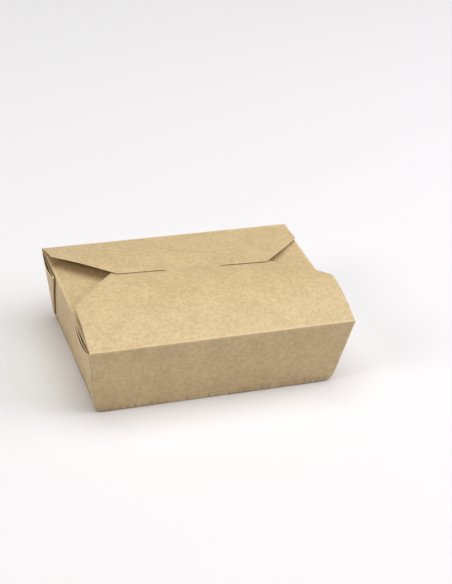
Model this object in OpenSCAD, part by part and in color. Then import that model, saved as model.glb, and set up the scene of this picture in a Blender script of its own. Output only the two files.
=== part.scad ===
// Folding takeaway carton in kraft board: a tapered tray with webbed corners,
// two end flaps, a front lid and a tuck lid whose tongue locks into a slit.
// Millimetres. The origin is on the table under the middle of the base,
// the front wall faces -Y and the tuck lid is hinged on the rear rim.

/* [Board] */
// Thickness of the board
card = 0.5; // [0.4:0.05:0.65]
// Air left between layers that are folded flat on each other
layer_gap = 0.2; // [0.1:0.05:0.4]
// How much thicker a scored crease is than the board
crease_swell = 0.12; // [0.06:0.02:0.2]

/* [Tray] */
// Length of the base, measured along the front wall's lower fold
base_length = 197; // [170:1:230]
// Depth of the base from front wall to rear wall
base_depth = 139; // [120:1:160]
// Height of the rim above the table
tray_height = 62; // [45:1:90]
// How far each end wall leans out by the time it reaches the rim
end_flare = 9.5; // [5:0.5:14]
// How far the front and rear walls lean out
long_flare = 8.5; // [5:0.5:14]

/* [Corner webs] */
// How far the folded tip of a web stays below the end wall's fold
web_tip_drop = 1.5; // [1:0.5:8]
// Depth of the scooped curve along the top of a web
web_scoop = 3.5; // [1.5:0.5:6]
// How far below the rim the scoop starts at the corner
web_corner_drop = 1.4; // [1.2:0.1:3]

/* [End flaps] */
// Length of an end flap from its fold to its free edge
flap_reach = 58; // [40:1:60]
// Upward slope of the left end flap when closed, in degrees
left_flap_slope = 6; // [0:0.5:6.5]
// Upward slope of the right end flap, which the lids hold down
right_flap_slope = 2; // [0:0.5:2.5]
// Gap between the flap's side and the rim, at the fold
flap_side_gap = 4; // [3:0.5:8]
// Relief angle of the flap's side edges, in degrees
flap_relief = 20; // [15:1:30]
// Corner radius of the flap's free edge
flap_corner = 12; // [4:1:20]

/* [Front lid] */
// Distance from the front rim to the lid's free edge, seen from above
front_reach = 100; // [92:1:110]
// Height of the free edge above the rim
front_lift = 6.8; // [5:0.2:9]
// How much higher the lid's left side ends than its right side
front_twist = 11.9; // [0:0.1:13]
// Rise of the bowed lid above its own chord
front_bow = 8.8; // [7:0.1:10]
// How much more the lid bows on the right than on the left
front_bow_twist = 7.6; // [0:0.2:9]
// Straight length of the lid's side before its cut corner
front_side = 49; // [40:1:60]

/* [Tuck lid] */
// How far the tuck lid laps over the front lid's free edge
tuck_lap = 15; // [12:0.5:20]
// Rise of the bowed tuck lid above its own chord
tuck_bow = 0.8; // [0.6:0.1:3]
// How much more the tuck lid bows on the left than on the right
tuck_bow_twist = 4.4; // [0:0.2:5]
// Straight length of the lid's side before its cut corner
tuck_side = 27.5; // [20:0.5:34]
// Air between the tuck lid's edge and the front lid it rests on
seat_gap = 0.15; // [0.1:0.05:0.3]

/* [Both lids] */
// Angle of the cut corners against the rim, in degrees
cut_angle = 45; // [40:0.5:50]
// How far a lid's side edge stands back from the tray's corner
lid_side_gap = 0.3; // [0.2:0.1:1]
// Extra width that each side loses along its straight length
side_relief = 0.8; // [0.4:0.1:2]
// Corner radius at the lid's outer shoulders and free edge
lid_corner = 2; // [1:0.5:4]

/* [Lock] */
// Width of the tongue at its root
tongue_width = 42; // [30:1:60]
// Length of the tongue from the tuck lid's edge to its tip
tongue_length = 14; // [10:0.5:20]
// Corner radius of the tongue's tip
tongue_corner = 8; // [4:0.5:9]
// Extra length of the slit at each end of the tongue
slit_end_gap = 0.6; // [0.3:0.1:1.5]
// Air between the tongue and the lips of the slit
slit_gap = 0.15; // [0.1:0.05:0.3]

/* [Hinge] */
// Air between the tuck lid's crease and the rear wall's top edge
hinge_gap = 0.15; // [0.1:0.05:0.25]

/* [Hidden] */

board_colour = "burlywood";
lid_colour = "tan";
tongue_colour = "peru";
bend_steps = 8;
small_facets = 32;
lid_steps = 14;
lid_columns = 6;
overhang = 1;

// Mid-planes of the board: folds run where two mid-planes meet.
half_card = card / 2;
pitch = card + layer_gap;
crease = card + crease_swell;
base_z = half_card;
rim_z = tray_height - half_card;
wall_rise = rim_z - base_z;
base_x = base_length / 2 - half_card;
base_y = base_depth / 2 - half_card;
rim_x = base_x + end_flare;
rim_y = base_y + long_flare;
end_slant = norm([end_flare, wall_rise]);
long_slant = norm([long_flare, wall_rise]);
end_lean = atan(end_flare / wall_rise);
long_lean = atan(long_flare / wall_rise);

// Each web is folded flat in two layers outside the end wall.
web_layers = 2;
end_inset = web_layers * pitch / cos(end_lean);
end_base_x = base_x - end_inset;
flap_fold_drop = pitch / cos(end_lean);
end_wall_slant = end_slant - flap_fold_drop;

// The web's two halves mirror each other, so in the flat blank each takes
// half of the angle that the base and the two walls leave at the corner.
front_corner_angle = 90 + atan(end_flare / long_slant);
end_corner_angle = 90 + atan(long_flare / end_slant);
web_half_angle = (360 - 90 - front_corner_angle - end_corner_angle) / 2;
web_lean = web_half_angle - (end_corner_angle - 90);
web_tip_slant = end_wall_slant - web_tip_drop;
web_tip = [base_y - web_tip_slant * tan(web_lean), web_tip_slant];
web_root = [base_y, 0];
web_corner_slant = end_slant - web_corner_drop;
web_corner = [base_y + web_corner_slant * long_flare / end_slant, web_corner_slant];

lid_half = rim_x - lid_side_gap;
shell_height = 4 * tray_height;
tuck_edge = front_reach - tuck_lap;
tuck_reach = 2 * rim_y - tuck_edge;

// A closed lid is a sprung strip: at a part s of its reach it has climbed that
// part of its lift, plus an arch. Lift and arch change evenly from the left side
// of the carton to the right, so straight lines run across the lid.
function arch(lift, rise, s) = lift * s + 4 * rise * s * (1 - s);
function front_height(x, u) =
    arch(
        front_lift - front_twist / 2 * x / lid_half,
        front_bow + front_bow_twist / 2 * x / lid_half,
        u / front_reach
    );
function tuck_height(x, u) =
    arch(
        front_height(x, tuck_edge) + card + seat_gap,
        tuck_bow - tuck_bow_twist / 2 * x / lid_half,
        u / tuck_reach
    );

// The tongue ramps down at 45 degrees through the slit and then follows the
// underside of the front lid.
tongue_depth = card + slit_gap;
ramp_run = tongue_depth + card + seat_gap;
slit_middle = tuck_edge - ramp_run / 2;
slit_half = half_card + (half_card + slit_gap) * sqrt(2);
slit_half_length = tongue_width / 2 + slit_end_gap;

function unit(v) = v / norm(v);
function bearing(v) = atan2(v[1], v[0]);
function turn(a, b) = let (d = (b - a) % 360) d > 180 ? d - 360 : d < -180 ? d + 360 : d;

// One corner of an outline, [x, y, radius], turned into the points of its arc.
function rounded_corner(before, here, after) =
    let (
        p = [here[0], here[1]],
        u = unit([before[0], before[1]] - p),
        v = unit([after[0], after[1]] - p),
        half = acos(u * v) / 2,
        r = here[2],
        centre = p + unit(u + v) * r / sin(half),
        first = bearing(p + u * r / tan(half) - centre),
        sweep = turn(first, bearing(p + v * r / tan(half) - centre))
    )
    r == 0 ? [p] : [for (i = [0:bend_steps]) centre + r * [cos(first + sweep * i / bend_steps), sin(first + sweep * i / bend_steps)]];
function rounded(points) =
    let (n = len(points))
    [for (i = [0:n - 1]) each rounded_corner(points[(i + n - 1) % n], points[i], points[(i + 1) % n])];

// A shallow arc from a to b that dips to the right of that direction by sag.
function scoop(a, b, sag) =
    let (
        chord = norm(b - a),
        radius = chord * chord / (8 * sag) + sag / 2,
        along = unit(b - a),
        left = [-along[1], along[0]],
        centre = (a + b) / 2 + left * (radius - sag),
        first = bearing(a - centre),
        sweep = turn(first, bearing(b - centre)),
        steps = 2 * bend_steps
    )
    [for (i = [0:steps]) centre + radius * [cos(first + sweep * i / steps), sin(first + sweep * i / steps)]];

// A strip of board seen edge on: the path is its middle line.
function path_normal(path, i) =
    let (last = len(path) - 1, d = unit(path[min(i + 1, last)] - path[max(i - 1, 0)]))
    [-d[1], d[0]];
function strip(path) =
    let (last = len(path) - 1)
    [
        for (i = [0:last]) path[i] + half_card * path_normal(path, i),
        for (i = [last:-1:0]) path[i] - half_card * path_normal(path, i)
    ];

module both_ways(axis) {
    children();
    mirror(axis) children();
}

module board(outline) {
    linear_extrude(height = card, center = true) polygon(outline);
}

// A scored fold from a to b: a bead a little thicker than the board.
module fold_line(a, b, thickness = crease) {
    d = b - a;
    translate(a)
        rotate([0, acos(d[2] / norm(d)), bearing(d)])
        cylinder(d = thickness, h = norm(d), $fn = small_facets);
}

// Places a drawing on the right-hand end wall: the drawing's x runs along Y,
// its y runs up the slope, and layer counts web layers outwards from the wall.
module on_end_wall(layer) {
    translate([end_base_x + layer * pitch / cos(end_lean), 0, base_z])
        rotate([0, end_lean, 0])
        rotate([90, 0, 90])
        children();
}
function end_wall_point(layer, p) =
    [
        end_base_x + layer * pitch / cos(end_lean) + p[1] * sin(end_lean),
        p[0],
        base_z + p[1] * cos(end_lean)
    ];

// Places a drawing on the front wall: x runs along X and y runs up the slope.
module on_long_wall() {
    translate([0, -base_y, base_z]) rotate([90 + long_lean, 0, 0]) children();
}

module base_panel() {
    cube([2 * end_base_x, 2 * base_y, card], center = true);
}

module long_wall() {
    on_long_wall() board([[-base_x, 0], [base_x, 0], [rim_x, long_slant], [-rim_x, long_slant]]);
    fold_line([-base_x, -base_y, base_z], [base_x, -base_y, base_z]);
    both_ways([1, 0, 0]) fold_line([base_x, -base_y, base_z], [rim_x, -rim_y, rim_z]);
}

module end_wall() {
    top_y = base_y + end_wall_slant * long_flare / end_slant;
    on_end_wall(0) board([[-base_y, 0], [base_y, 0], [top_y, end_wall_slant], [-top_y, end_wall_slant]]);
    fold_line(end_wall_point(0, [-base_y, 0]), end_wall_point(0, [base_y, 0]));
    fold_line(end_wall_point(0, [-top_y, end_wall_slant]), end_wall_point(0, [top_y, end_wall_slant]));
}

// One folded web: an outer half wrapped round from the long wall, a return
// fold along its free edge, and an inner half back against the end wall.
module corner_web() {
    outline = concat([web_root], scoop(web_tip, web_corner, web_scoop));
    for (layer = [1:web_layers]) on_end_wall(layer) board(outline);
    middle = web_layers - 0.5;
    fold_line(end_wall_point(middle, web_root), end_wall_point(middle, web_tip), pitch + crease);
}

module end_flap(slope) {
    fold_y = base_y + end_wall_slant * long_flare / end_slant - flap_side_gap;
    free_y = fold_y - flap_reach * tan(flap_relief);
    hinge = end_wall_point(0, [0, end_wall_slant]);
    translate([hinge[0], 0, hinge[2]])
        rotate([0, -slope, 180])
        board(rounded([
            [0, -fold_y, 0], [flap_reach, -free_y, flap_corner],
            [flap_reach, free_y, flap_corner], [0, fold_y, 0]
        ]));
}

// The plan of a lid, with u running inwards from its fold.
function lid_outline(reach, side) =
    let (shoulder = lid_half - side_relief, free_half = shoulder - (reach - side) / tan(cut_angle))
    rounded([
        [-lid_half, 0, 0], [lid_half, 0, 0], [shoulder, side, lid_corner], [free_half, reach, lid_corner],
        [-free_half, reach, lid_corner], [-shoulder, side, lid_corner]
    ]);

// Board through several side views of its middle line. The sections are their
// places across the carton, and view(x) gives the side view at x.
module lofted_board(sections, view) {
    rims = [for (x = sections) strip(view(x))];
    n = len(rims[0]);
    last = len(sections) - 1;
    polyhedron(
        points = [for (k = [0:last]) for (p = rims[k]) [sections[k], p[0], p[1]]],
        faces = concat(
            [[for (i = [n - 1:-1:0]) i], [for (i = [0:n - 1]) last * n + i]],
            [
                for (k = [0:last - 1])
                for (i = [0:n - 1])
                let (a = k * n + i, b = k * n + (i + 1) % n)
                each (i < n / 2 ? [[a, b, a + n], [b, b + n, a + n]] : [[a, b, b + n], [a, b + n, a + n]])
            ]
        )
    );
}
function across(half, columns) = [for (k = [0:columns]) half * (2 * k / columns - 1)];

// A bent lid with its fold at the origin: the board reaches just past the
// outline and is cut to it.
module bent_lid(reach, outline, height) {
    intersection() {
        lofted_board(across(lid_half + overhang, lid_columns), function (x) side_view(reach, x, height));
        translate([0, 0, -tray_height / 2])
            linear_extrude(height = shell_height)
            polygon(outline);
    }
}
function side_view(reach, x, height) =
    [
        for (i = [0:lid_steps])
        let (u = (reach + 2 * overhang) * i / lid_steps - overhang)
        [u, height(x, u)]
    ];

module at_front_rim() {
    translate([0, -rim_y, rim_z]) children();
}

module at_rear_rim() {
    translate([0, rim_y, rim_z]) rotate([0, 0, 180]) children();
}

module front_lid() {
    at_front_rim() {
        difference() {
            bent_lid(front_reach, lid_outline(front_reach, front_side), function (x, u) front_height(x, u));
            translate([-slit_half_length, slit_middle - slit_half, 0])
                cube([2 * slit_half_length, 2 * slit_half, tray_height]);
        }
        fold_line([-lid_half, 0, 0], [lid_half, 0, 0]);
    }
}

// The room that the tuck lid's crease turns in.
module hinge_room() {
    reach = rim_x + card;
    translate([0, rim_y, rim_z])
        rotate([0, 90, 0])
        cylinder(d = crease + 2 * hinge_gap, h = 2 * reach, center = true, $fn = small_facets);
}

module carton() {
    color(board_colour)
        difference() {
            union() {
                translate([0, 0, base_z]) base_panel();
                both_ways([0, 1, 0]) long_wall();
                both_ways([1, 0, 0]) {
                    end_wall();
                    both_ways([0, 1, 0]) corner_web();
                }
                end_flap(right_flap_slope);
                mirror([1, 0, 0]) end_flap(left_flap_slope);
                front_lid();
            }
            hinge_room();
        }
}

module tuck_lid() {
    color(lid_colour)
        at_rear_rim() {
            bent_lid(tuck_reach, lid_outline(tuck_reach, tuck_side), function (x, u) tuck_height(-x, u));
            fold_line([-lid_half, 0, 0], [lid_half, 0, 0]);
        }
}

// The tongue's side view at x: from the tuck lid's edge down through the slit,
// then along the underside of the front lid.
function tongue_view(x) =
    let (foot = tuck_edge - ramp_run, steps = 2 * bend_steps)
    concat(
        [[tuck_edge, front_height(x, tuck_edge) + card + seat_gap]],
        [for (i = [0:steps])
            let (u = foot - (tongue_length - ramp_run) * i / steps)
            [u, front_height(x, u) - tongue_depth]]
    );

module lock_tongue() {
    tip = tuck_edge - tongue_length;
    half = tongue_width / 2;
    color(tongue_colour)
        at_front_rim()
        intersection() {
            lofted_board(across(half + overhang, 2), function (x) tongue_view(x));
            linear_extrude(height = tray_height)
                polygon(rounded([
                    [-half, tuck_edge, 0], [-half, tip, tongue_corner],
                    [half, tip, tongue_corner], [half, tuck_edge, 0]
                ]));
        }
}

carton();
tuck_lid();
lock_tongue();
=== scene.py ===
# %% [markdown]
# # A takeaway carton in kraft board
# This lesson dresses a folding food carton. The imported model already holds every size: a tapered
# tray, corner webs folded flat outside the end walls, two end flaps, a bowed front lid and a tuck
# lid on a hinge. Blender adds what makes board look like board: panels that bulge a little, lids
# that spring up, round folds, pale cut edges and a fibrous brown skin.
# The first cell loads the frame and bakes each part's place into its mesh.

# %% Load the frame
import math

import bmesh
import bpy
import numpy as np
from mathutils import Matrix, Vector
from mathutils.geometry import delaunay_2d_cdt


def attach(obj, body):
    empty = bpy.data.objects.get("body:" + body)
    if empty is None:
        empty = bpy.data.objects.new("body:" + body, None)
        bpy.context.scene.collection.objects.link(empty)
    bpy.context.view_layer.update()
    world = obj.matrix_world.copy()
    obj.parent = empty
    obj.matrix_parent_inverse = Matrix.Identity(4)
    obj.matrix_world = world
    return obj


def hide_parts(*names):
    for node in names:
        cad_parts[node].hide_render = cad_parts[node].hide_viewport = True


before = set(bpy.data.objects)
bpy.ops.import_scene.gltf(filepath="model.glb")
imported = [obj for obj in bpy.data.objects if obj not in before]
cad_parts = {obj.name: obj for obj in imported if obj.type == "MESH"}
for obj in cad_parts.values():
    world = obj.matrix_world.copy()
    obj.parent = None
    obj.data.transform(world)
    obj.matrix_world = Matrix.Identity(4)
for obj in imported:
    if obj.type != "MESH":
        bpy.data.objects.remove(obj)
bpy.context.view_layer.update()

# %% [markdown]
# ## Where the camera stands
# The camera comes first, because every later choice is judged through it. A real photograph is
# matched by four facts: the compass angle and the height it looks from, how far it leans to the
# side, and how strong its perspective is. The lean is there because the carton was held by hand,
# a few degrees out of level. Building the camera's three axes by hand keeps the lean exact.

# %% Camera
MM = 0.001
CAMERA_AZIMUTH = math.radians(-22.02)
CAMERA_HEIGHT = math.radians(32.10)
CAMERA_LEAN = math.radians(5.55)
CAMERA_DISTANCE = 1191.7 * MM
CAMERA_SHIFT_RIGHT = 30.0 * MM
CAMERA_SHIFT_UP = 45.6 * MM
FOCAL_PIXELS = 1438.1
IMAGE_LONG_SIDE = 584
SENSOR = 36.0


def camera_axes(azimuth, height, lean):
    level = math.cos(height)
    back = Vector((math.sin(azimuth) * level, -math.cos(azimuth) * level, math.sin(height)))
    level_right = Vector((math.cos(azimuth), math.sin(azimuth), 0))
    level_up = back.cross(level_right)
    right = math.cos(lean) * level_right + math.sin(lean) * level_up
    up = -math.sin(lean) * level_right + math.cos(lean) * level_up
    return right, up, back


right, up, back = camera_axes(CAMERA_AZIMUTH, CAMERA_HEIGHT, CAMERA_LEAN)
eye = back * CAMERA_DISTANCE + right * CAMERA_SHIFT_RIGHT + up * CAMERA_SHIFT_UP
camera_data = bpy.data.cameras.new("camera")
camera_data.sensor_width = SENSOR
camera_data.sensor_height = SENSOR
camera_data.lens = FOCAL_PIXELS / IMAGE_LONG_SIDE * SENSOR
camera = bpy.data.objects.new("camera", camera_data)
bpy.context.scene.collection.objects.link(camera)
camera.matrix_world = Matrix.Translation(eye) @ Matrix((right, up, back)).transposed().to_4x4()
bpy.context.scene.camera = camera
print("lens %.1f mm, camera at %s" % (camera_data.lens, [round(c, 3) for c in eye]))

# %% [markdown]
# ## Floor and light
# A plain pale floor and soft light suit board. Three wide lamps do the work. The one overhead is
# strongest, so the lids are the brightest faces and a faint sheen lies along the front rim. The
# ones on either side stand low, and the left one reaches under the tuck lid, where light thrown
# back by the board itself makes the shadow warm. The room is pale near the horizon, as in front
# of a white sweep, and dim overhead, so a low view has a quiet background and folds stay crisp.

# %% Floor, world and lights
FLOOR_RADIUS = 1.6
FLOOR_SIDES = 96
FLOOR_DROP = 0.4 * MM
FLOOR_COLOUR = (0.757, 0.742, 0.744, 1)
FLOOR_ROUGHNESS = 0.9
ROOM_COLOUR = (1.0, 0.96, 0.93, 1)
ROOM_LOW = 0.48
ROOM_HIGH = 0.04
ROOM_FADE = (0.05, 0.32)


def mesh_object(name, vertices, faces, materials=()):
    mesh = bpy.data.meshes.new(name)
    mesh.from_pydata([tuple(v) for v in vertices], [], [tuple(f) for f in faces])
    mesh.update()
    for material in materials:
        mesh.materials.append(material)
    made = bpy.data.objects.new(name, mesh)
    bpy.context.scene.collection.objects.link(made)
    return made


def area_light(name, position, size, power, colour):
    data = bpy.data.lights.new(name, "AREA")
    data.shape = "DISK"
    data.size = size
    data.energy = power
    data.color = colour
    lamp = bpy.data.objects.new(name, data)
    lamp.location = position
    lamp.rotation_euler = (-Vector(position)).to_track_quat("-Z", "Y").to_euler()
    bpy.context.scene.collection.objects.link(lamp)


def ramp(tree, value, low, high, at_low, at_high):
    """A soft step: at_low where the value is under low, at_high where it is over high."""
    node = tree.nodes.new("ShaderNodeMapRange")
    node.interpolation_type = "SMOOTHSTEP"
    numbers = {"From Min": low, "From Max": high, "To Min": at_low, "To Max": at_high}
    for name, number in numbers.items():
        node.inputs[name].default_value = number
    tree.links.new(value, node.inputs["Value"])
    return node.outputs["Result"]


floor_material = bpy.data.materials.new("pale_floor")
floor_material.use_nodes = True
floor_shader = floor_material.node_tree.nodes["Principled BSDF"]
floor_shader.inputs["Base Color"].default_value = FLOOR_COLOUR
floor_shader.inputs["Roughness"].default_value = FLOOR_ROUGHNESS
turns = [math.tau * k / FLOOR_SIDES for k in range(FLOOR_SIDES)]
disc = [(FLOOR_RADIUS * math.cos(a), FLOOR_RADIUS * math.sin(a), 0) for a in turns]
floor = mesh_object("floor", disc, [range(FLOOR_SIDES)], [floor_material])
floor.location.z = -FLOOR_DROP

bpy.context.scene.view_settings.view_transform = "Standard"
world = bpy.data.worlds.new("pale_room")
bpy.context.scene.world = world
world.use_nodes = True
room = world.node_tree
direction = room.nodes.new("ShaderNodeSeparateXYZ")
room.links.new(room.nodes.new("ShaderNodeTexCoord").outputs["Generated"], direction.inputs[0])
strength = ramp(room, direction.outputs[2], *ROOM_FADE, ROOM_LOW, ROOM_HIGH)
backdrop = room.nodes["Background"]
backdrop.inputs["Color"].default_value = ROOM_COLOUR
room.links.new(strength, backdrop.inputs["Strength"])

# Each lamp: where it stands, how wide it is, its power in watts and its colour.
LIGHTS = {
    "right_panel": ((1.6, -0.44, 1.3), 1.9, 27.5, (1.0, 0.97, 1.04)),
    "left_panel": ((-2.2, -0.5, 1.5), 1.2, 23.0, (1.0, 0.95, 0.92)),
    "overhead": ((0.0, 0.0, 3.2), 3.6, 96.0, (1.0, 1.03, 1.02)),
}
for name, settings in LIGHTS.items():
    area_light(name, *settings)
print("lights", list(LIGHTS))

# %% [markdown]
# ## The carton's sizes
# The driving sizes are those of the real carton, in millimetres. Everything else follows from
# them: how far the walls lean, how long a corner fold is, and the angle at which a web folds. A web
# is cut so that both of its halves lie flat on the end wall, so each half takes half of the angle
# that the base and the two walls leave over at the corner.

# %% Sizes
CARD = 0.5
PITCH = 0.7
CREASE = 0.62
BASE_LENGTH = 197.0
BASE_DEPTH = 139.0
TRAY_HEIGHT = 62.0
END_FLARE = 9.5
LONG_FLARE = 8.5

base_z = CARD / 2
rim_z = TRAY_HEIGHT - CARD / 2
rise = rim_z - base_z
base_x = BASE_LENGTH / 2 - CARD / 2
base_y = BASE_DEPTH / 2 - CARD / 2
rim_x = base_x + END_FLARE
rim_y = base_y + LONG_FLARE
end_lean = math.atan(END_FLARE / rise)
end_slant = math.hypot(END_FLARE, rise)
long_slant = math.hypot(LONG_FLARE, rise)
web_depth = PITCH / math.cos(end_lean)
end_base_x = base_x - 2 * web_depth
end_top = end_slant - web_depth
rim_end_x = end_base_x + end_top * math.sin(end_lean)
rim_end_z = base_z + end_top * math.cos(end_lean)
corner_lean = math.atan(LONG_FLARE / end_slant)
spare_angle = 2 * math.pi - math.radians(90) * 3 - math.atan(END_FLARE / long_slant) - corner_lean
web_angle = spare_angle / 2
print("rim %.1f x %.1f mm, web folds at %.1f degrees" % (2 * rim_x, 2 * rim_y, math.degrees(web_angle)))

# %% [markdown]
# ## The board's skin
# Kraft board is pressed from long brown fibres. Close up it shows three things: soft clouds where
# the pulp lies thicker, fine fibres that lie in several directions, and a few dark flecks. Each is
# a noise texture on object coordinates, so the pattern is fixed to the board and has its real size.
# A photograph wrapped round the carton would be quicker, but it would stretch and repeat.

# %% Node helpers
def link(tree, socket, value):
    if isinstance(value, bpy.types.NodeSocket):
        tree.links.new(value, socket)
    else:
        socket.default_value = value


def math_node(tree, operation, *values):
    node = tree.nodes.new("ShaderNodeMath")
    node.operation = operation
    for socket, value in zip(node.inputs, values):
        link(tree, socket, value)
    return node.outputs[0]


def noise_field(tree, place, scale, detail=2.0, roughness=0.5, length=1.0, turn=(0, 0, 0)):
    """Noise on object coordinates. Length draws it out along its x axis, and turn aims that axis."""
    mapping = tree.nodes.new("ShaderNodeMapping")
    mapping.vector_type = "TEXTURE"
    mapping.inputs["Scale"].default_value = (length, 1, 1)
    mapping.inputs["Rotation"].default_value = turn
    tree.links.new(place, mapping.inputs["Vector"])
    noise = tree.nodes.new("ShaderNodeTexNoise")
    noise.inputs["Scale"].default_value = scale
    noise.inputs["Detail"].default_value = detail
    noise.inputs["Roughness"].default_value = roughness
    tree.links.new(mapping.outputs["Vector"], noise.inputs["Vector"])
    return noise.outputs["Fac"]


def contrast(tree, noise):
    """Noise stays near 0.5, so its middle is drawn out to the whole range from 0 to 1."""
    return ramp(tree, noise, 0.3, 0.7, 0, 1)


def mix_colour(tree, amount, first, second, blend="MIX"):
    node = tree.nodes.new("ShaderNodeMix")
    node.data_type = "RGBA"
    node.blend_type = blend
    link(tree, node.inputs[0], amount)
    link(tree, node.inputs[6], first)
    link(tree, node.inputs[7], second)
    return node.outputs[2]


helpers = (math_node, noise_field, contrast, mix_colour)
print("helpers that add nodes:", ", ".join(helper.__name__ for helper in helpers))

# %% [markdown]
# Pressing a fold line into board stretches its skin, which turns paler there. The same pale line is
# also a painted highlight: it lightens the board along the rim and base folds, where a rounded fold
# would catch the light. Painting that line by hand would work, but it would have to be done again
# after each change of size. The fold lines of the rim and the base are straight and level, so the
# distance to the nearest one is the root of a sum of two squares, and a few nodes can work it out at
# every point of the board.

# %% Pale fold lines with a painted highlight
FOLD_FADE = 2.2 * MM
FOLD_CORE = 0.3
# Each line: the axis it lies across (0 is x, 1 is y), how far out on it, and how high.
FOLD_LINES = (
    (1, rim_y, rim_z), (0, rim_end_x, rim_end_z),
    (1, base_y, base_z), (0, end_base_x, base_z),
)


def fold_paleness_and_highlight(tree, place):
    """1 on the level fold lines of the rim and the base, 0 beyond the fade: where the pale skin and the
    painted highlight go.
    """
    parts = tree.nodes.new("ShaderNodeSeparateXYZ")
    tree.links.new(place, parts.inputs[0])
    nearest = 1.0
    for axis, across, height in FOLD_LINES:
        from_middle = math_node(tree, "ABSOLUTE", parts.outputs[axis])
        aside = math_node(tree, "SUBTRACT", from_middle, across * MM)
        above = math_node(tree, "SUBTRACT", parts.outputs[2], height * MM)
        above_squared = math_node(tree, "MULTIPLY", above, above)
        squared = math_node(tree, "MULTIPLY_ADD", aside, aside, above_squared)
        distance = math_node(tree, "POWER", squared, 0.5)
        nearest = math_node(tree, "MINIMUM", distance, nearest)
    return ramp(tree, nearest, FOLD_CORE * FOLD_FADE, FOLD_FADE, 1, 0)


print("fold lines", len(FOLD_LINES), "and their mirror images, fading over %.1f mm" % (FOLD_FADE / MM))

# %% [markdown]
# One function makes all three finishes, so they can't drift apart. The face of the board is brown
# and fibrous, the outside of a fold is paler, which is stretched skin and a painted highlight, and
# the cut edge shows the pale inside of the sheet with few fibres.

# %% Kraft board materials
KRAFT_DARK = (0.430, 0.307, 0.154, 1)
KRAFT_LIGHT = (0.700, 0.540, 0.303, 1)
# The fold beads are paler than the face: stretched skin, and a painted highlight on the round of each
# fold.
CREASE_DARK_WITH_HIGHLIGHT = (0.560, 0.430, 0.250, 1)
CREASE_LIGHT_WITH_HIGHLIGHT = (0.740, 0.590, 0.360, 1)
FLECK = (0.26, 0.15, 0.07, 1)
EDGE_DARK = (0.70, 0.54, 0.35, 1)
EDGE_LIGHT = (0.90, 0.77, 0.56, 1)
WARM_TINT = (0.970, 0.945, 0.925, 1)
PALE_TINT = (1.0, 1.015, 1.0, 1)

# Scales are in features per metre, and shares say how much each pattern adds to the tone.
CLOUD_SCALE, CLOUD_SHARE = 60, 0.16
FLOC_SCALE, FLOC_SHARE = 330, 0.34
FIBRE_SCALE, FIBRE_SHARE = 2300, 0.125
FIBRE_SCALE_STEP = 170
FIBRE_STRETCH = 7.0
FIBRE_TURNS = ((0, -0.35, 0.25), (0, 0.3, 1.35), (0, -1.1, 0.8), (0, 0.15, -0.8))
TINT_SCALE = 150
TINT_RANGE = (0.35, 0.65)
FLECK_SCALE = 1100
FLECK_STRETCH = 3.0
FLECK_TURN = (0.2, 0.3, 0.5)
FLECK_RANGE = (0.70, 0.78)
FLECK_STRENGTH = 0.5

# How far the board is drawn to its light tone along the folds: paler stretched skin and a painted
# highlight.
FOLD_PALE_AND_HIGHLIGHT_SHARE = 0.45
ROUGH_RANGE = (0.2, 0.8)
ROUGH_THIN, ROUGH_THICK = 0.62, 0.48
SHEEN = 0.5
BUMP_STRENGTH = 0.35
BUMP_HEIGHT = 0.03 * MM


def board_material(name, dark, light, fibres):
    material = bpy.data.materials.new(name)
    material.use_nodes = True
    tree = material.node_tree
    shader = tree.nodes["Principled BSDF"]
    place = tree.nodes.new("ShaderNodeTexCoord").outputs["Object"]
    clouds = noise_field(tree, place, CLOUD_SCALE)
    flocs = noise_field(tree, place, FLOC_SCALE, detail=3, roughness=0.6)
    tone = math_node(tree, "MULTIPLY", contrast(tree, clouds), CLOUD_SHARE)
    tone = math_node(tree, "MULTIPLY_ADD", contrast(tree, flocs), FLOC_SHARE, tone)
    strands = []
    for k, turn in enumerate(FIBRE_TURNS):
        scale = FIBRE_SCALE - FIBRE_SCALE_STEP * k
        strand = noise_field(tree, place, scale, length=FIBRE_STRETCH, turn=turn)
        tone = math_node(tree, "MULTIPLY_ADD", contrast(tree, strand), FIBRE_SHARE * fibres, tone)
        strands.append(strand)
    colour = mix_colour(tree, tone, dark, light)
    # Along the folds the colour turns lighter: paler stretched skin, and a painted highlight.
    fold_pale_and_highlight = math_node(tree, "MULTIPLY", fold_paleness_and_highlight(tree, place), FOLD_PALE_AND_HIGHLIGHT_SHARE)
    colour = mix_colour(tree, fold_pale_and_highlight, colour, light)
    patches = noise_field(tree, place, TINT_SCALE, detail=3, roughness=0.7)
    tint = mix_colour(tree, ramp(tree, patches, *TINT_RANGE, 0, 1), WARM_TINT, PALE_TINT)
    colour = mix_colour(tree, 1.0, colour, tint, "MULTIPLY")
    specks = noise_field(tree, place, FLECK_SCALE, length=FLECK_STRETCH, turn=FLECK_TURN)
    flecks = ramp(tree, specks, *FLECK_RANGE, 0, FLECK_STRENGTH * fibres)
    colour = mix_colour(tree, flecks, colour, FLECK)
    tree.links.new(colour, shader.inputs["Base Color"])
    roughness = ramp(tree, flocs, *ROUGH_RANGE, ROUGH_THIN, ROUGH_THICK)
    tree.links.new(roughness, shader.inputs["Roughness"])
    shader.inputs["Specular IOR Level"].default_value = SHEEN
    height = math_node(tree, "ADD", strands[0], math_node(tree, "ADD", strands[1], strands[3]))
    bump = tree.nodes.new("ShaderNodeBump")
    bump.inputs["Strength"].default_value = BUMP_STRENGTH
    bump.inputs["Distance"].default_value = BUMP_HEIGHT
    tree.links.new(height, bump.inputs["Height"])
    tree.links.new(bump.outputs["Normal"], shader.inputs["Normal"])
    return material


kraft = board_material("kraft_face", KRAFT_DARK, KRAFT_LIGHT, fibres=1.0)
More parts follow.
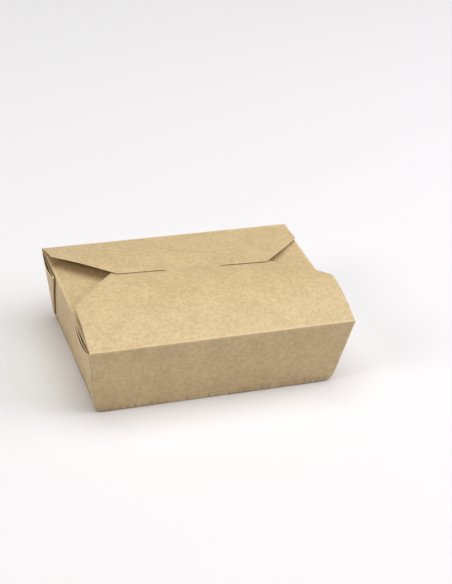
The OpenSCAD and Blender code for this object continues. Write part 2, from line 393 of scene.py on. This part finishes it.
# The beads of the folds take a paler copy of the board: a painted highlight along each fold, with its
# stretched skin.
crease_with_highlight = board_material("kraft_crease", CREASE_DARK_WITH_HIGHLIGHT, CREASE_LIGHT_WITH_HIGHLIGHT, fibres=0.8)
cut_edge = board_material("board_cut_edge", EDGE_DARK, EDGE_LIGHT, fibres=0.4)
print("materials", kraft.name, crease_with_highlight.name, cut_edge.name)

# %% [markdown]
# ## Flat sheets
# A carton starts as flat board, so each panel here starts as a flat outline filled with small
# triangles. A plain polygon could not bend, because it has no points inside its edge. A Delaunay
# fill of the outline and a grid of inner points gives an even net that bends smoothly.

# %% Outlines and fills
ARC_STEPS = 6
GRID_SHIFT = 0.25
BORDER_CLEARANCE = 0.55
SLIVER = 0.001
SAME_POINT = 1e-5


def rounded(points):
    """points are (x, y, corner radius); each corner becomes an arc."""
    path = []
    for i, (x, y, radius) in enumerate(points):
        here = Vector((x, y))
        if not radius:
            path.append(here)
            continue
        before = Vector(points[i - 1][:2]) - here
        after = Vector(points[(i + 1) % len(points)][:2]) - here
        half = before.angle(after) / 2
        centre = here + (before.normalized() + after.normalized()).normalized() * radius / math.sin(half)
        first = here + before.normalized() * radius / math.tan(half) - centre
        last = here + after.normalized() * radius / math.tan(half) - centre
        turn = first.angle_signed(last)
        for k in range(ARC_STEPS + 1):
            swing = -turn * k / ARC_STEPS
            path.append(centre + Matrix.Rotation(swing, 2) @ first)
    return path


def split_edges(path, spacing):
    points = []
    for a, b in zip(path, path[1:] + path[:1]):
        count = max(1, round((b - a).length / spacing))
        points += [a.lerp(b, k / count) for k in range(count)]
    return points


def is_inside(points, polygon):
    """For each point, whether a ray from it crosses the polygon an odd number of times."""
    points = np.asarray(points)
    found = np.zeros(len(points), bool)
    for (ax, ay), (bx, by) in zip(polygon, polygon[1:] + polygon[:1]):
        if ay == by:
            continue
        crosses = (points[:, 1] < ay) != (points[:, 1] < by)
        found ^= crosses & (points[:, 0] < ax + (bx - ax) * (points[:, 1] - ay) / (by - ay))
    return found


def flat_sheet(name, outline, spacing, hole=None):
    """Fills an outline, less its hole, with triangles about one spacing wide."""
    loops = [split_edges([Vector(p[:2]) for p in loop], spacing) for loop in (outline, hole) if loop]
    border = [p for loop in loops for p in loop]
    low = np.min(border, axis=0)
    high = np.max(border, axis=0)
    counts = np.ceil((high - low) / spacing).astype(int)
    cells = [(i + 0.5 * (j % 2), j) for j in range(counts[1]) for i in range(counts[0])]
    grid = low + (np.array(cells) + GRID_SHIFT) * spacing
    keep = is_inside(grid, [tuple(p) for p in loops[0]])
    gaps = np.linalg.norm(grid[:, None, :] - np.array(border)[None, :, :], axis=2).min(axis=1)
    grid = grid[keep & (gaps > BORDER_CLEARANCE * spacing)]
    edges = []
    for loop in loops:
        start = edges[-1][0] + 1 if edges else 0
        edges += [(start + k, start + (k + 1) % len(loop)) for k in range(len(loop))]
    filled = delaunay_2d_cdt(border + [Vector(p) for p in grid], edges, [], 0, SAME_POINT)
    vertices, faces = filled[0], filled[2]
    corners = np.array([[vertices[i][:] for i in f] for f in faces])
    sides = corners[:, 1:] - corners[:, :1]
    area = np.abs(sides[:, 0, 0] * sides[:, 1, 1] - sides[:, 0, 1] * sides[:, 1, 0])
    middles = corners.mean(axis=1)
    keep = is_inside(middles, [tuple(p) for p in loops[0]]) & (area > SLIVER * spacing)
    if hole:
        keep &= ~is_inside(middles, [tuple(p) for p in loops[1]])
    faces = [f for f, k in zip(faces, keep) if k]
    return mesh_object(name, [(v.x, v.y, 0) for v in vertices], faces)


print("a triangle with one round corner has", len(rounded([(0, 0, 0), (9, 0, 0), (9, 9, 2)])), "points")

# %% [markdown]
# ## Bending a sheet by rule
# A closed lid is a springy strip held at both ends, so its side view is a shallow arch. That is a
# rule, and Geometry Nodes can hold it: the height of each point follows from how far it lies from
# the fold. The same tree bulges the walls and adds a faint ripple, and two twist inputs let the
# left side stand higher than the right, as it does on a carton that has been handled.

# %% The bending tree
def group_input(tree, name, kind, value=None):
    socket = tree.interface.new_socket(name=name, in_out="INPUT", socket_type=kind)
    if value is not None:
        socket.default_value = value


# In millimetres, because a panel is bent before it is laid in place.
BEND_INPUTS = {
    "Reach": 1.0, "Half width": 1.0, "Lift": 0.0, "Lift twist": 0.0, "Bow": 0.0,
    "Bow twist": 0.0, "Bulge": 0.0, "Ripple": 0.0, "Ripple size": 60.0, "Seed": 0.0,
}


def bending_tree():
    tree = bpy.data.node_groups.new("bend_a_sheet", "GeometryNodeTree")
    group_input(tree, "Geometry", "NodeSocketGeometry")
    for name, value in BEND_INPUTS.items():
        group_input(tree, name, "NodeSocketFloat", value)
    group_input(tree, "Material", "NodeSocketMaterial")
    tree.interface.new_socket(name="Geometry", in_out="OUTPUT", socket_type="NodeSocketGeometry")
    given = tree.nodes.new("NodeGroupInput").outputs
    parts = tree.nodes.new("ShaderNodeSeparateXYZ")
    tree.links.new(tree.nodes.new("GeometryNodeInputPosition").outputs[0], parts.inputs[0])
    x, y = parts.outputs[0], parts.outputs[1]
    s = math_node(tree, "DIVIDE", y, given["Reach"])
    to_edge = math_node(tree, "SUBTRACT", 1.0, s)
    arch = math_node(tree, "MULTIPLY", math_node(tree, "MULTIPLY", s, 4.0), to_edge)
    lift = math_node(tree, "MULTIPLY_ADD", x, given["Lift twist"], given["Lift"])
    bow = math_node(tree, "MULTIPLY_ADD", x, given["Bow twist"], given["Bow"])
    across = math_node(tree, "DIVIDE", x, given["Half width"])
    inside = math_node(tree, "SUBTRACT", 1.0, math_node(tree, "MULTIPLY", across, across))
    middle = math_node(tree, "MAXIMUM", inside, 0.0)
    height = math_node(tree, "MULTIPLY_ADD", lift, s, math_node(tree, "MULTIPLY", bow, arch))
    bulge = math_node(tree, "MULTIPLY", given["Bulge"], middle)
    height = math_node(tree, "MULTIPLY_ADD", bulge, arch, height)
    noise = tree.nodes.new("ShaderNodeTexNoise")
    noise.noise_dimensions = "4D"
    noise.inputs["Detail"].default_value = 1.0
    tree.links.new(given["Seed"], noise.inputs["W"])
    tree.links.new(math_node(tree, "DIVIDE", 1.0, given["Ripple size"]), noise.inputs["Scale"])
    centred = math_node(tree, "SUBTRACT", noise.outputs["Fac"], 0.5)
    wave = math_node(tree, "MULTIPLY", centred, given["Ripple"])
    held = math_node(tree, "MINIMUM", math_node(tree, "MULTIPLY", s, 4.0), 1.0)
    height = math_node(tree, "MULTIPLY_ADD", wave, held, height)
    offset = tree.nodes.new("ShaderNodeCombineXYZ")
    tree.links.new(height, offset.inputs[2])
    move = tree.nodes.new("GeometryNodeSetPosition")
    tree.links.new(given["Geometry"], move.inputs["Geometry"])
    tree.links.new(offset.outputs[0], move.inputs["Offset"])
    end_of_tree(tree, move.outputs[0], given["Material"])
    return tree


def end_of_tree(tree, geometry, material):
    real = tree.nodes.new("GeometryNodeRealizeInstances")
    paint = tree.nodes.new("GeometryNodeSetMaterial")
    tree.links.new(geometry, real.inputs[0])
    tree.links.new(real.outputs[0], paint.inputs["Geometry"])
    tree.links.new(material, paint.inputs["Material"])
    tree.links.new(paint.outputs[0], tree.nodes.new("NodeGroupOutput").inputs[0])


bend_tree = bending_tree()
print(bend_tree.name, "has", len(bend_tree.nodes), "nodes and", len(BEND_INPUTS), "sizes")

# %% [markdown]
# A modifier's inputs are set by each socket's identifier. Its result is then read back as a plain
# mesh and the modifier goes, so what rides on the carton later is ordinary geometry.

# %% Run a tree and keep its result
def plain(made):
    graph = bpy.context.evaluated_depsgraph_get()
    mesh = bpy.data.meshes.new_from_object(made.evaluated_get(graph))
    made.modifiers.clear()
    made.data = mesh
    return made


def run_tree(made, tree, **sizes):
    modifier = made.modifiers.new(tree.name, "NODES")
    modifier.node_group = tree
    for item in tree.interface.items_tree:
        key_name = item.name.replace(" ", "_").lower()
        if item.in_out == "INPUT" and key_name in sizes:
            modifier[item.identifier] = sizes[key_name]
    return plain(made)


print({item.name: item.identifier for item in bend_tree.interface.items_tree if item.in_out == "INPUT"})

# %% [markdown]
# ## From a surface to board
# Solidify turns the bent surface into a sheet of real thickness, with the cut edge in its own
# material, and a narrow bevel takes the razor sharpness off it. Then the panel is laid in place in
# one step, with its place baked into the mesh.

# %% Thickness and place
EDGE_ROUND = 0.1
EDGE_SEGMENTS = 2
EDGE_ANGLE = math.radians(50)
PANEL_SPACING = 6


def thicken(made):
    made.data.materials.clear()
    made.data.materials.append(kraft)
    made.data.materials.append(cut_edge)
    solid = made.modifiers.new("board", "SOLIDIFY")
    solid.thickness = CARD
    solid.offset = 0
    solid.use_even_offset = True
    solid.material_offset_rim = 1
    soft = made.modifiers.new("soft_edge", "BEVEL")
    soft.width = EDGE_ROUND
    soft.segments = EDGE_SEGMENTS
    soft.limit_method = "ANGLE"
    soft.angle_limit = EDGE_ANGLE
    return plain(made)


def lay(made, origin, along, inward):
    """Puts a panel's own x along one direction and its y along another, and turns mm to metres."""
    along, inward = Vector(along).normalized(), Vector(inward).normalized()
    turn = Matrix((along, inward, along.cross(inward))).transposed().to_4x4()
    made.data.transform(Matrix.Scale(MM, 4) @ Matrix.Translation(origin) @ turn)
    made.data.update()
    return made


def panel(name, outline, origin, along, inward, spacing=PANEL_SPACING, hole=None, press=None, **sizes):
    """A flat sheet is bent by the tree, pressed by a rule of its own, made thick and laid in place."""
    made = run_tree(flat_sheet(name, outline, spacing, hole), bend_tree, material=kraft, **sizes)
    if press:
        for vertex in made.data.vertices:
            vertex.co.z += press(vertex.co.x, vertex.co.y)
    return lay(thicken(made), origin, along, inward)


print("board %.1f mm thick, its edges round to %.1f mm" % (CARD, EDGE_ROUND))

# %% [markdown]
# ## Round folds
# A scored fold is a tight half-round bead. A second tree draws one along any line of points: the
# line becomes a curve, the curve gets a circle as its profile, and the ends are closed.

# %% The fold tree
def fold_tree():
    tree = bpy.data.node_groups.new("round_a_fold", "GeometryNodeTree")
    group_input(tree, "Geometry", "NodeSocketGeometry")
    group_input(tree, "Radius", "NodeSocketFloat", CREASE / 2 * MM)
    group_input(tree, "Sides", "NodeSocketInt", 12)
    group_input(tree, "Material", "NodeSocketMaterial")
    tree.interface.new_socket(name="Geometry", in_out="OUTPUT", socket_type="NodeSocketGeometry")
    given = tree.nodes.new("NodeGroupInput").outputs
    curve = tree.nodes.new("GeometryNodeMeshToCurve")
    circle = tree.nodes.new("GeometryNodeCurvePrimitiveCircle")
    sweep = tree.nodes.new("GeometryNodeCurveToMesh")
    sweep.inputs["Fill Caps"].default_value = True
    tree.links.new(given["Geometry"], curve.inputs[0])
    tree.links.new(given["Radius"], circle.inputs["Radius"])
    tree.links.new(given["Sides"], circle.inputs["Resolution"])
    tree.links.new(curve.outputs[0], sweep.inputs["Curve"])
    tree.links.new(circle.outputs[0], sweep.inputs["Profile Curve"])
    end_of_tree(tree, sweep.outputs[0], given["Material"])
    return tree


round_tree = fold_tree()


def fold(name, points, radius=CREASE / 2):
    """A bead along a line of points, which are in millimetres."""
    mesh = bpy.data.meshes.new(name)
    steps = [(i, i + 1) for i in range(len(points) - 1)]
    mesh.from_pydata([tuple(Vector(p) * MM) for p in points], steps, [])
    made = bpy.data.objects.new(name, mesh)
    bpy.context.scene.collection.objects.link(made)
    # Each bead wears the paler crease finish, a painted highlight along the fold.
    return run_tree(made, round_tree, radius=radius * MM, material=crease_with_highlight)


print(round_tree.name, "has", len(round_tree.nodes), "nodes, and its bead is %.2f mm thick" % CREASE)

# %% [markdown]
# ## The tray
# The base is a rectangle, and the walls are trapezoids that lean out from it. A box could be scaled
# into that shape in one step, but it would have no thin walls and no folds. Panels are closer to
# the real thing: each wall stands on its fold line, and a bead of board closes every corner. The
# walls bulge a little between their folds, because handled board is never quite flat.

# %% Base and long walls
BASE_SPACING = 12
# Each rippled panel has its own fixed seed, and the side is added for the two ends.
SEEDS = {"front_wall": 3.0, "rear_wall": 7.0, "end_wall": 11.0, "end_flap": 20.0,
         "front_lid": 31.0, "tuck_sheet": 41.0}
WALL_BULGE = 0.5
WALL_RIPPLE = 0.35
WALL_RIPPLE_SIZE = 60.0

shells = []
base_outline = [(-end_base_x, 0), (end_base_x, 0), (end_base_x, 2 * base_y), (-end_base_x, 2 * base_y)]
shells.append(panel("base", base_outline, (0, -base_y, base_z), (1, 0, 0), (0, 1, 0), BASE_SPACING))
wall_outline = [(-base_x, 0), (base_x, 0), (rim_x, long_slant), (-rim_x, long_slant)]
wall_sizes = dict(reach=long_slant, half_width=rim_x, bulge=WALL_BULGE,
                  ripple=WALL_RIPPLE, ripple_size=WALL_RIPPLE_SIZE)
for side, name in ((-1, "front_wall"), (1, "rear_wall")):
    up_wall = (0, side * LONG_FLARE, rise)
    foot = (0, side * base_y, base_z)
    shells.append(panel(name, wall_outline, foot, (-side, 0, 0), up_wall, seed=SEEDS[name], **wall_sizes))
    corners = [(end * base_x, side * base_y, base_z) for end in (-1, 1)]
    for end, bottom in zip((-1, 1), corners):
        shells.append(fold(name + "_corner", [bottom, (end * rim_x, side * rim_y, rim_z)]))
    shells.append(fold(name + "_foot", corners))
print("panels and folds so far", len(shells))

# %% [markdown]
# The web at each corner keeps the tray tight without a cut. It is two layers: the outer one carries
# on round from the long wall, folds back on itself along its free edge, and the inner one returns
# to the corner. The free edge springs off the wall a little, which is the dark line seen beside it.
# Each end is made from one function that knows which side it is on, so left and right can't drift
# apart, and only the springs and slopes in the tables below differ.

# %% Ends, webs and end flaps
WEB_TIP_DROP = 1.5
WEB_SCOOP = 3.5
WEB_CORNER_DROP = 1.4
WEB_SPRING = {(-1, 1): 0.9, (-1, -1): 1.1, (1, -1): 0.9, (1, 1): 0.7}
WEB_SPREAD = {(-1, 1): 1.4, (-1, -1): 0.9, (1, -1): 0.6, (1, 1): 0.6}
WEB_BOW_SHARE = 0.3
WEB_SPACING = 3
WEB_STEPS = 12
SCOOP_STEPS = 14
END_BULGE = 0.4
END_RIPPLE = 0.2
END_RIPPLE_SIZE = 50.0
FLAP_REACH = 58.0
FLAP_SIDE_GAP = 4.0
FLAP_RELIEF = math.radians(20)
FLAP_CORNER = 12.0
FLAP_SLOPE = {-1: math.radians(6), 1: math.radians(2)}
FLAP_BOW = {-1: 0.8, 1: 0.0}
FLAP_RIPPLE = 0.2
FLAP_RIPPLE_SIZE = 40.0

end_top_y = base_y + end_top * math.tan(corner_lean)
tip_slant = end_top - WEB_TIP_DROP
tip_y = base_y - tip_slant * math.tan(web_angle - corner_lean)
tip_along = tip_slant * math.cos(corner_lean) - (base_y - tip_y) * math.sin(corner_lean)
tip_across = tip_slant * math.sin(corner_lean) + (base_y - tip_y) * math.cos(corner_lean)
corner_along = (end_slant - WEB_CORNER_DROP) / math.cos(corner_lean)


def scoop(a, b, sag):
    """An arc from a to b that dips to the right of that direction."""
    a, b = Vector(a), Vector(b)
    step = b - a
    side = Vector((step.y, -step.x)).normalized()
    shares = [k / SCOOP_STEPS for k in range(SCOOP_STEPS + 1)]
    return [a + step * t + side * sag * 4 * t * (1 - t) for t in shares]


web_outline = [Vector((0, 0)), *scoop((tip_along, tip_across), (corner_along, 0), WEB_SCOOP)]


def end_of_tray(side):
    out = Vector((side * math.cos(end_lean), 0, -math.sin(end_lean)))
    up_wall = Vector((side * math.sin(end_lean), 0, math.cos(end_lean)))
    along = Vector((0, side, 0))
    foot = Vector((side * end_base_x, 0, base_z))
    made = []
    outline = [(-base_y, 0), (base_y, 0), (end_top_y, end_top), (-end_top_y, end_top)]
    made.append(panel("end_wall", outline, foot, along, up_wall, reach=end_top, half_width=base_y,
                      bulge=END_BULGE, ripple=END_RIPPLE, ripple_size=END_RIPPLE_SIZE,
                      seed=SEEDS["end_wall"] + side))
    top = foot + up_wall * end_top
    made.append(fold("end_foot", [foot + Vector((0, y, 0)) for y in (-base_y, base_y)]))
    made.append(fold("end_rim", [top + Vector((0, y, 0)) for y in (-end_top_y, end_top_y)]))
    for corner in (-1, 1):
        made += corner_web(side, corner, foot, out, up_wall)
    made.append(end_flap(side, top))
    return made


def spread_web(spread):
    """Bulges a web between its two folds, most at its cut edge, and leaves both folds where they are."""
    return lambda x, y: 4 * spread * y / tip_across * (abs(x) / tip_along - y / tip_across)


def corner_web(side, corner, foot, out, up_wall):
    """Two layers and the bead of their free edge. All three follow the same spring and bow."""
    root = foot + Vector((0, corner * base_y, 0))
    y_axis = Vector((0, corner, 0))
    up_corner = up_wall * math.cos(corner_lean) + y_axis * math.sin(corner_lean)
    inward = up_wall * math.sin(corner_lean) - y_axis * math.cos(corner_lean)
    turned = up_corner.cross(inward).dot(out)
    spring = WEB_SPRING[side, corner]
    bow = WEB_BOW_SHARE * spring
    made = []
    for layer, spread in ((1, 0), (2, WEB_SPREAD[side, corner])):
        outline, x_axis = web_outline, up_corner
        if turned < 0:
            outline, x_axis = [Vector((-p.x, p.y)) for p in reversed(web_outline)], -up_corner
        made.append(panel("web", outline, root + out * layer * PITCH, x_axis, inward, WEB_SPACING,
                          press=spread_web(spread), reach=tip_across, lift=spring, bow=bow))
    free_edge = []
    # The bead lies halfway between the two layers.
    for k in range(WEB_STEPS + 1):
        t = k / WEB_STEPS
        height = 1.5 * PITCH + spring * t + 4 * bow * t * (1 - t)
        free_edge.append(root + (up_corner * tip_along + inward * tip_across) * t + out * height)
    made.append(fold("web_fold", free_edge, (PITCH + CREASE) / 2))
    return made


def end_flap(side, top):
    slope = FLAP_SLOPE[side]
    inward = Vector((-side * math.cos(slope), 0, math.sin(slope)))
    fold_y = end_top_y - FLAP_SIDE_GAP
    free_y = fold_y - FLAP_REACH * math.tan(FLAP_RELIEF)
    outline = rounded([(-fold_y, 0, 0), (fold_y, 0, 0),
                       (free_y, FLAP_REACH, FLAP_CORNER), (-free_y, FLAP_REACH, FLAP_CORNER)])
    return panel("end_flap", outline, top, (0, -side, 0), inward, reach=FLAP_REACH, half_width=fold_y,
                 bow=FLAP_BOW[side], ripple=FLAP_RIPPLE, ripple_size=FLAP_RIPPLE_SIZE,
                 seed=SEEDS["end_flap"] + side)


for side in (-1, 1):
    shells += end_of_tray(side)
print("with the ends", len(shells), "panels and folds")

# %% [markdown]
# ## The two lids
# Both lids come from one outline: a fold as long as the rim, short straight sides, 45 degree cut
# corners and a free edge. The front lid has a slit near its free edge. The tuck lid has a tongue
# that goes through it, so near the slit the two sheets press past each other: the tuck lid dips
# over the width of the tongue, and the hidden lip behind the slit bends down to let it through.
# The slit is 3 mm longer than the tongue at each end, because the tuck lid still dips there.

# %% Lid outlines and the lock
LID_SIDE_GAP = 0.3
SIDE_RELIEF = 0.8
LID_CORNER = 2.0
FRONT_REACH = 100.0
FRONT_SIDE = 49.0
TUCK_LAP = 15.0
TUCK_SIDE = 27.5
TONGUE_HALF = 21.0
TONGUE_LENGTH = 14.0
TONGUE_CORNER = 8.0
TONGUE_FADE = 25.0
TONGUE_PRESS_FROM = 0.55
SLIT_HALF = 24.0
SLIT_WIDTH = 0.9
LOCK_DROP = 1.65
LIP_DROP = 1.5
LIP_HALF = TONGUE_HALF - 1
LIP_LEVEL = 4.0
LID_SPACING = 4
LID_RIPPLE_SIZE = 60.0

lid_half = rim_x - LID_SIDE_GAP
shoulder = lid_half - SIDE_RELIEF
tuck_edge = FRONT_REACH - TUCK_LAP
tuck_reach = 2 * rim_y - tuck_edge


def lid_outline(reach, side, tongue=0.0):
    free = shoulder - (reach - side)
    points = [(-lid_half, 0, 0), (lid_half, 0, 0), (shoulder, side, LID_CORNER), (free, reach, LID_CORNER)]
    if tongue:
        points += [(TONGUE_HALF, reach, 0), (TONGUE_HALF, reach + tongue, TONGUE_CORNER),
                   (-TONGUE_HALF, reach + tongue, TONGUE_CORNER), (-TONGUE_HALF, reach, 0)]
    points += [(-free, reach, LID_CORNER), (-shoulder, side, LID_CORNER)]
    return rounded(points)


def smooth(value, low, high):
    t = min(max((value - low) / (high - low), 0.0), 1.0)
    return t * t * (3 - 2 * t)


def near_tongue(x):
    return 1 - smooth(abs(x), TONGUE_HALF, TONGUE_FADE)


slit_front = tuck_edge - SLIT_WIDTH
slit = [(-SLIT_HALF, slit_front), (SLIT_HALF, slit_front), (SLIT_HALF, tuck_edge), (-SLIT_HALF, tuck_edge)]
print("front lid reaches %.1f mm, tuck lid %.1f mm" % (FRONT_REACH, tuck_reach))

# %% [markdown]
# The front lid is held at its fold and by the lock, so it rises between them in a shallow arch. Its
# lift is how high its free edge stands, and its bow is how far the arch stands above a straight
# line. A twist in each of them makes the left side higher. It is bent by the tree, and the short
# function below repeats the tree's rule in Python, because the tuck lid has to know how high the
# board lies under its edge.

# %% Front lid
FRONT_LIFT = 6.8
FRONT_TWIST = 11.9
FRONT_BOW = 8.8
FRONT_BOW_TWIST = 7.6
FRONT_RIPPLE = 0.3
front_sizes = dict(
    reach=FRONT_REACH, half_width=lid_half, lift=FRONT_LIFT, lift_twist=-FRONT_TWIST / 2 / lid_half,
    bow=FRONT_BOW, bow_twist=FRONT_BOW_TWIST / 2 / lid_half,
    ripple=FRONT_RIPPLE, ripple_size=LID_RIPPLE_SIZE, seed=SEEDS["front_lid"])


def front_height(x, y):
    s = y / FRONT_REACH
    lift = front_sizes["lift"] + front_sizes["lift_twist"] * x
    bow = front_sizes["bow"] + front_sizes["bow_twist"] * x
    return lift * s + 4 * bow * s * (1 - s)


def press_lip(x, y):
    if y < tuck_edge - SLIT_WIDTH / 2:
        return 0
    over_slit = 1 - smooth(abs(x), LIP_HALF, SLIT_HALF)
    behind_slit = 1 - smooth(y, tuck_edge + LIP_LEVEL, FRONT_REACH)
    return -LIP_DROP * over_slit * behind_slit


def height_over_rim(made):
    return max(vertex.co.z for vertex in made.data.vertices) / MM - TRAY_HEIGHT


front_lid = panel("front_lid", lid_outline(FRONT_REACH, FRONT_SIDE), (0, -rim_y, rim_z),
                  (1, 0, 0), (0, 1, 0), LID_SPACING, hole=slit, press=press_lip, **front_sizes)
shells.append(front_lid)
shells.append(fold("front_rim", [(-lid_half, -rim_y, rim_z), (lid_half, -rim_y, rim_z)]))
print("front lid rises to %.1f mm above the rim" % height_over_rim(front_lid))

# %% [markdown]
# The tuck lid closes last and lies on the front lid. Its free edge takes its height from the board
# under it at three points, plus the thickness of the board and a little air, so the two lids keep
# the same twist and a thin dark line lies between them. It stays an object of its own, because it
# is the only flap that moves.

# %% Tuck lid with its tongue
SEAT_GAP = 0.6
TUCK_BOW = 0.8
TUCK_BOW_TWIST = 4.4
TUCK_RIPPLE = 0.2
lift_right, lift_middle, lift_left = (
    front_height(x, tuck_edge) + CARD + SEAT_GAP for x in (lid_half, 0, -lid_half))
tuck_sizes = dict(
    reach=tuck_reach, half_width=lid_half,
    lift=lift_middle, lift_twist=(lift_left - lift_right) / 2 / lid_half,
    bow=TUCK_BOW, bow_twist=TUCK_BOW_TWIST / 2 / lid_half,
    ripple=TUCK_RIPPLE, ripple_size=LID_RIPPLE_SIZE, seed=SEEDS["tuck_sheet"])


def press_lock(x, y):
    return -LOCK_DROP * near_tongue(x) * smooth(y, TONGUE_PRESS_FROM * tuck_reach, tuck_reach)


tuck_sheet = panel("tuck_sheet", lid_outline(tuck_reach, TUCK_SIDE, TONGUE_LENGTH), (0, rim_y, rim_z),
                   (-1, 0, 0), (0, -1, 0), LID_SPACING, press=press_lock, **tuck_sizes)
rear_rim = fold("rear_rim", [(-lid_half, rim_y, rim_z), (lid_half, rim_y, rim_z)])
print("tuck lid rises to %.1f mm above the rim" % height_over_rim(tuck_sheet))

# %% [markdown]
# ## One sheet of board
# The real carton is a single sheet, so its panels and folds are melted into one closed shell. The
# Manifold solver of the Boolean modifier does that in a moment, because each panel is closed.
# Where folds cross, a union leaves needle-thin faces that can't be seen but spoil the mesh, so
# points closer than a hundredth of a millimetre are merged and what is left without area goes.
# Faces with more than four sides are split here too, because an exporter can split two such
# neighbours along the same straight run of points and leave a pair of faces back to back.
# Shading is smooth except where two faces meet at more than 35 degrees.

# %% Melt the panels together
SMOOTH_ANGLE = math.radians(35)
NEEDLE = 0.01 * MM
MOST_SIDES = 4
SOFT_CORNER = 9.0
SOFT_PRESS = 1.5
SOFT_INWARD = 0.6


def open_edges(mesh):
    """How many edges don't join exactly two faces: 0 on a closed shell."""
    uses = {}
    for polygon in mesh.polygons:
        for pair in polygon.edge_keys:
            uses[pair] = uses.get(pair, 0) + 1
    return sum(1 for count in uses.values() if count != 2)


def clear_needles(mesh):
    net = bmesh.new()
    net.from_mesh(mesh)
    bmesh.ops.remove_doubles(net, verts=net.verts, dist=NEEDLE)
    bmesh.ops.dissolve_degenerate(net, edges=net.edges, dist=NEEDLE)
    many_sided = [face for face in net.faces if len(face.verts) > MOST_SIDES]
    bmesh.ops.triangulate(net, faces=many_sided)
    net.to_mesh(mesh)
    net.free()


def melt(name, parts):
    first, others = parts[0], parts[1:]
    print(name, "melts", len(parts), "parts with", sum(open_edges(p.data) for p in parts), "open edges")
    for part in others:
        union = first.modifiers.new("melt", "BOOLEAN")
        union.operation = "UNION"
        union.object = part
        union.solver = "MANIFOLD"
    plain(first)
    clear_needles(first.data)
    for part in others:
        bpy.data.objects.remove(part)
    first.name = name
    first.data.name = name
    first.data.shade_smooth()
    first.data.set_sharp_from_angle(angle=SMOOTH_ANGLE)
    return first


def soften_corners(made):
    """The four bottom corners of a folded tray are never sharp: they give a little."""
    for vertex in made.data.vertices:
        x, y, z = vertex.co / MM
        away = math.dist((abs(x), abs(y), z), (base_x, base_y, 0))
        if away < SOFT_CORNER:
            press = SOFT_PRESS * (1 - away / SOFT_CORNER) ** 2 * MM
            inward = SOFT_INWARD * press
            vertex.co += Vector((-math.copysign(inward, x), -math.copysign(inward, y), press))


carton = melt("carton_board", shells)
soften_corners(carton)
tuck_lid = melt("tuck_lid_board", [tuck_sheet, rear_rim])
for made in (carton, tuck_lid):
    counts = (made.name, len(made.data.vertices), len(made.data.polygons), open_edges(made.data))
    print("%s: %d points, %d faces, %d open edges" % counts)

# %% [markdown]
# ## Riding on the frame
# Each piece stands for its CAD node and moves with its body. The tuck lid's bead lies on the hinge
# line, so it only turns in place when the lid opens, and the fold stays closed at every angle.

# %% Ride and replace
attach(carton, "carton")
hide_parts("carton")
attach(tuck_lid, "lid")
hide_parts("tuck_lid", "lock_tongue")
print(carton.name, "stands for carton,", tuck_lid.name, "for tuck_lid and lock_tongue")
